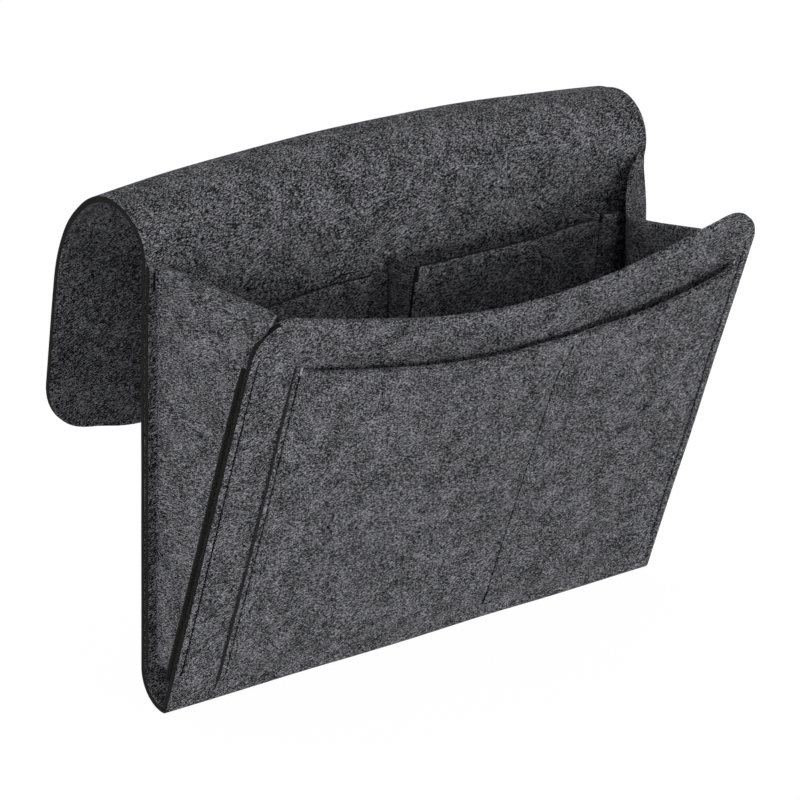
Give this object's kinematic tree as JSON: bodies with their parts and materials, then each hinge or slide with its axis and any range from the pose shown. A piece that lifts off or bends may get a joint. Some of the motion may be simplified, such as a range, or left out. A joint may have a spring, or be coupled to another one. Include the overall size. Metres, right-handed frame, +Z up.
{
  "type": "bedside caddy",
  "caption": "Felt bedside caddy that hangs over a bed rail by an arched flap, with a scooped leaning front, a divided outer pocket, folding side gussets and inner pockets.",
  "frame": {"origin": "on the underside of the arch, at its crown and at the middle of the width, where a bed rail carries the caddy", "axes": "+Z up, -Y out of the front of the caddy, +Y towards the hanging flap, +X along the width to the right of someone who faces the front"},
  "size_m": [0.324, 0.1798, 0.2595],
  "materials": {
    "felt": "matte charcoal needle felt with pale flecks",
    "thread": "matte sewing thread"
  },
  "bodies": {
    "back": {"back_panel": "felt", "left_gusset": "felt", "right_gusset": "felt", "left_inner_pocket": "felt", "middle_inner_pocket": "felt", "right_inner_pocket": "felt", "back_seam_left": "thread", "back_seam_right": "thread", "gusset_tack_left": "thread", "gusset_tack_right": "thread", "inner_anchor_seam_left": "thread", "inner_anchor_seam_middle": "thread", "inner_anchor_seam_right": "thread", "inner_end_seam_left": "thread", "inner_end_seam_middle": "thread", "inner_end_seam_right": "thread", "inner_hem_seam_left": "thread", "inner_hem_seam_middle": "thread", "inner_hem_seam_right": "thread"},
    "flap": {"rear_flap": "felt"},
    "front": {"front_panel": "felt", "outer_pocket": "felt", "front_seam_left": "thread", "front_seam_right": "thread", "pocket_seam_left": "thread", "pocket_seam_divider": "thread", "pocket_seam_right": "thread", "pocket_seam_foot": "thread", "pocket_tack_left": "thread", "pocket_tack_divider": "thread", "pocket_tack_right": "thread"}
  },
  "joints": [
    {"name": "flap_swing", "type": "hinge", "parent": "back", "child": "flap", "pos_m": [0, 0.02178, -0.00615], "axis": [1, 0, 0], "range_deg": [-30, 90], "stiffness_Nm_per_rad": 0.15, "springref_deg": 2.86},
    {"name": "front_fold", "type": "hinge", "parent": "back", "child": "front", "pos_m": [0, -0.04759, -0.24958], "axis": [-1, 0, 0], "range_deg": [0, 14], "deforming": ["left_gusset", "right_gusset"]}
  ]
}
